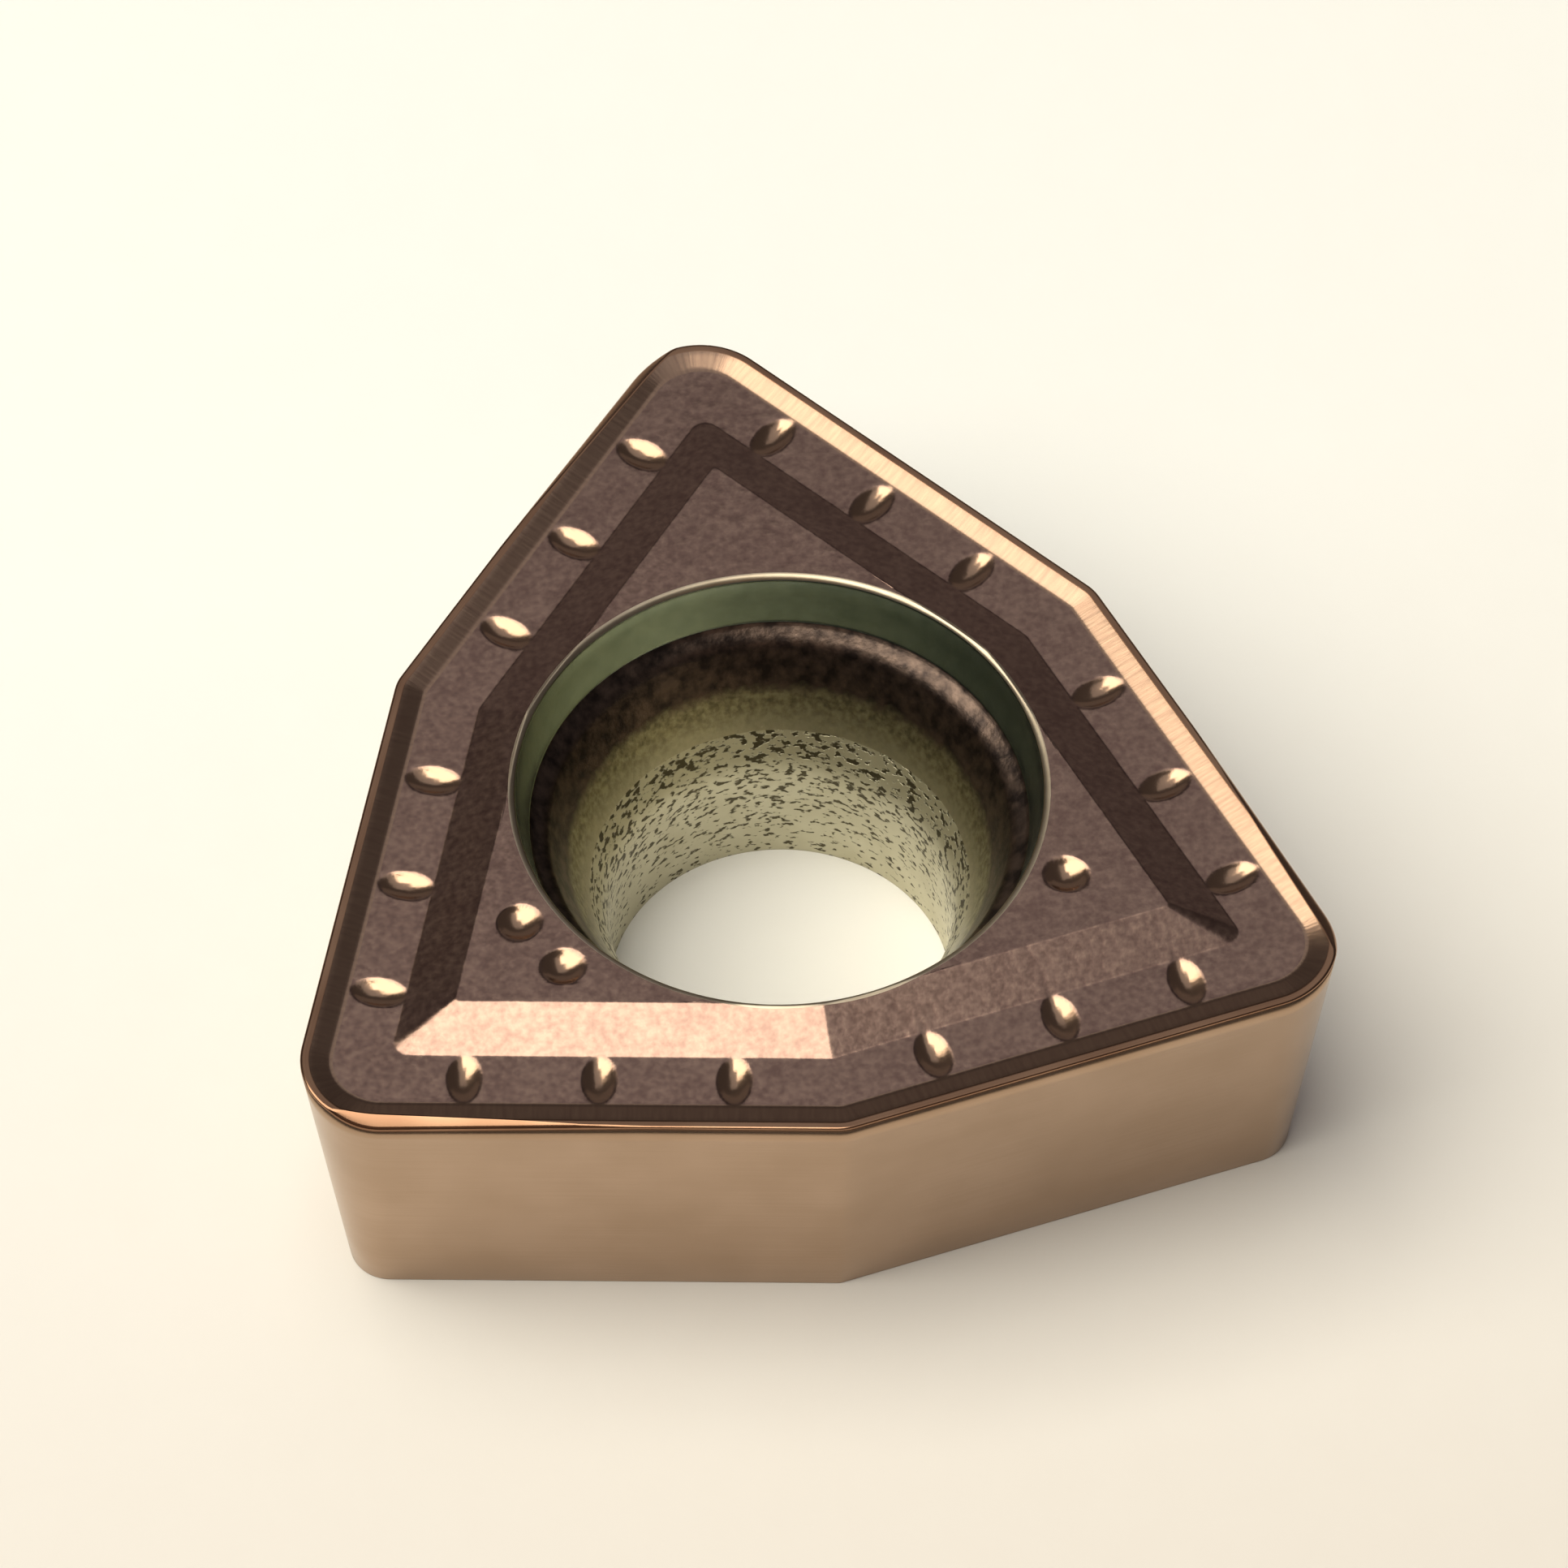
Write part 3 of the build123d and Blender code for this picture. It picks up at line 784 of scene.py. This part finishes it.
nearest = node(dots, "GeometryNodeProximity", ends, target_element="POINTS")
press_ball(dots, size, place, nearest.outputs["Distance"])
print(len(dots.nodes), "nodes press the dots")

# %% The tree that leaves the face uneven
# Sintering shrinks the block by a fifth and leaves the pressed face very slightly wavy, so
# that highlights and creases waver. Grinding takes this off the sides and the land.
wave_sizes = {"Width": 0.14 * MM, "Height": 0.0045 * MM}
waves, size = new_modifier_tree("uneven_sintered_face", wave_sizes)
scale = node(waves, "ShaderNodeMath", (1.0, size["Width"]), operation="DIVIDE")
noise = node(waves, "ShaderNodeTexNoise", {"Scale": scale, "Detail": 1.0})
middle = node(waves, "ShaderNodeMath", (noise.outputs[0], 0.5), operation="SUBTRACT")
lift = node(waves, "ShaderNodeMath", (middle, size["Height"]), operation="MULTIPLY")
pressed_share = node(waves, "GeometryNodeInputNamedAttribute", {"Name": "as_sintered"}, data_type="FLOAT")
lift = node(waves, "ShaderNodeMath", (lift, pressed_share), operation="MULTIPLY")
offset = node(waves, "ShaderNodeCombineXYZ", {"Z": lift})
end_modifier_tree(waves, node(waves, "GeometryNodeSetPosition", {0: size["Geometry"], "Offset": offset}))
print(len(waves.nodes), "nodes make it wavy")

# %% Press the marks, and bake the result to a plain mesh
def add_modifier(piece, tree, inputs):
    """Adds the tree to the piece, with its inputs set by their sockets' identifiers."""
    modifier = piece.modifiers.new(tree.name, "NODES")
    modifier.node_group = tree
    for item in tree.interface.items_tree:
        if item.name in inputs:
            modifier[item.identifier] = inputs[item.name]

blank = bpy.data.objects.new("insert_blank", skin)
bpy.context.scene.collection.objects.link(blank)
add_modifier(blank, dimples, dimple_sizes)
add_modifier(blank, dots, dot_sizes)
add_modifier(blank, waves, wave_sizes)
evaluated = blank.evaluated_get(bpy.context.evaluated_depsgraph_get())
finished = bpy.data.meshes.new_from_object(evaluated)
bpy.data.objects.remove(blank)
insert = bpy.data.objects.new("coated_insert", finished)
bpy.context.scene.collection.objects.link(insert)
sunk = [before.co.z - after.co.z for before, after in zip(skin.vertices, finished.vertices)]
print("deepest mark, mm:", round(max(sunk) / MM, 3), "slots:", len(finished.materials))
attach(insert, "root")
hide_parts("insert")

# %% [markdown]
# ## Floor
# A plain pale sheet of paper, far larger than the insert, so that its edge never shows. Its colour
# is painted a little darker towards the front: painted shade, where the lamps' light falls off.
# Beyond the insert's surroundings it is painted pale grey, painted shade for the lamps' fall-off far
# out, because the facets that lean away mirror it at a low angle and would otherwise look white.

# %% Floor
# The first colour is the paper's own. The second is painted shade towards the front, and the third is painted
# shade far out.
FRESH, FRONT_SHADE, FAR_SHADE = "#FAFCFE", "#ECE7E4", "#B8AFA8"
FRONT_SHADE_START, FRONT_SHADE_FULL = 6 * MM, -9 * MM
FAR_SHADE_START, FAR_SHADE_FULL = 15.5 * MM, 32 * MM
SHEET_REACH = 400 * MM
paper, tree, place = new_material("pale_paper")
fibres = node(tree, "ShaderNodeTexNoise", {"Vector": place, "Scale": 1 / (0.6 * MM), "Detail": 4.0})
along_y = node(tree, "ShaderNodeSeparateXYZ", (place,)).outputs["Y"]
# Painted shade: the paper darkens towards the front.
front_shade_share = node(tree, "ShaderNodeMapRange", (along_y, FRONT_SHADE_START, FRONT_SHADE_FULL))
tone = node(tree, "ShaderNodeMath", (fibres, 0.1, front_shade_share), operation="MULTIPLY_ADD")
near_tint = node(tree, "ShaderNodeMix", {0: tone, 6: linear(FRESH), 7: linear(FRONT_SHADE)}, data_type="RGBA")
reach = node(tree, "ShaderNodeVectorMath", (place,), operation="LENGTH").outputs["Value"]
# Painted shade: the paper turns grey far from the insert.
far_shade_share = node(tree, "ShaderNodeMapRange", (reach, FAR_SHADE_START, FAR_SHADE_FULL))
tint = node(tree, "ShaderNodeMix", {0: far_shade_share, 6: near_tint, 7: linear(FAR_SHADE)}, data_type="RGBA")
relief = node(tree, "ShaderNodeBump", {"Height": fibres, "Distance": 0.006 * MM})
end_material(paper, {"Base Color": tint, "Roughness": 0.9, "Specular IOR Level": 0.1, "Normal": relief})
sheet = bpy.data.meshes.new("paper")
corners = [(x * SHEET_REACH, y * SHEET_REACH, 0) for x, y in ((-1, -1), (1, -1), (1, 1), (-1, 1))]
sheet.from_pydata(corners, [], [(0, 1, 2, 3)])
sheet.materials.append(paper)
floor = bpy.data.objects.new("paper", sheet)
bpy.context.scene.collection.objects.link(floor)

# %% [markdown]
# ## Light
# A glossy block this small is drawn by what it mirrors. One large warm softbox hangs to the
# left. A narrow one joins its right edge, so that the left half of the boss's front slope
# shines and the right half stays dull, and a small one before it does the same for the front
# facet. A weak panel above and behind lifts the flat faces. A faint wall far behind lifts the
# facets that lean away. A weak warm panel in front gives the cutting edge its copper line. Dim
# surroundings keep the steep slopes dark.

# %% Panels and surroundings
SOFT_WHITE, SOFT_BRIGHTNESS = "#FFF9E6", 4.1

def add_panel(name, middle, size, colour, brightness, tilt=0.0):
    """A rectangular light that faces down, its middle and size in millimetres.

    Brightness is its surface's. A tilt in degrees turns it to the back, a negative one to the
    front.
    """
    lamp = bpy.data.lights.new(name, "AREA")
    lamp.shape = "RECTANGLE"
    lamp.size, lamp.size_y = (side * MM for side in size)
    lamp.color = linear(colour)[:3]
    lamp.energy = brightness * pi * lamp.size * lamp.size_y
    panel = bpy.data.objects.new(name, lamp)
    panel.location = [value * MM for value in middle]
    panel.rotation_euler.x = radians(tilt)
    bpy.context.scene.collection.objects.link(panel)
    print(f"{name}: {lamp.energy * 1000:.0f} mW")

add_panel("softbox", (-257, 12, 300), (445, 325), SOFT_WHITE, SOFT_BRIGHTNESS)
add_panel("softbox_edge", (-4, -18, 300), (62, 155), SOFT_WHITE, SOFT_BRIGHTNESS)
add_panel("facet_panel", (-57, -181, 300), (56, 74), SOFT_WHITE, SOFT_BRIGHTNESS)
add_panel("back_panel", (42, 105, 320), (166, 360), "#FFFFFF", 0.42)
add_panel("back_wall", (30, 420, 150), (700, 200), "#FFF0E6", 0.10, tilt=-80)
add_panel("front_panel", (-50, -330, 230), (420, 200), "#FFC890", 0.16, tilt=55)
world = bpy.data.worlds.new("studio")
world.use_nodes = True
world.node_tree.nodes["Background"].inputs["Color"].default_value = linear("#F4E8E4")
world.node_tree.nodes["Background"].inputs["Strength"].default_value = 0.1
bpy.context.scene.world = world
bpy.context.scene.view_settings.view_transform = "Standard"

# %% [markdown]
# ## Camera
# A long lens from the front, well above the table, as in a close product shot.

# %% Camera
TARGET = Vector((0.442, 2.482, 0)) * MM
DISTANCE = 126.25 * MM
ELEVATION = radians(53.305)
AZIMUTH = radians(-99.052)
ROLL = radians(-0.2976)
FOCAL_LENGTH = 287.13
SENSOR_WIDTH = 36
back = Vector((cos(ELEVATION) * cos(AZIMUTH), cos(ELEVATION) * sin(AZIMUTH), sin(ELEVATION)))
level = Vector((0, 0, 1)).cross(back).normalized()
upright = back.cross(level)
right = cos(ROLL) * level + sin(ROLL) * upright
up = cos(ROLL) * upright - sin(ROLL) * level
lens = bpy.data.cameras.new("camera")
lens.lens, lens.sensor_width = FOCAL_LENGTH, SENSOR_WIDTH
lens.clip_start, lens.clip_end = 1 * MM, 10
camera = bpy.data.objects.new("camera", lens)
turned = Matrix((right, up, back)).transposed().to_4x4()
camera.matrix_world = Matrix.Translation(TARGET + back * DISTANCE) @ turned
bpy.context.scene.collection.objects.link(camera)
bpy.context.scene.camera = camera
print("camera at, mm:", [round(value / MM, 1) for value in camera.matrix_world.translation])
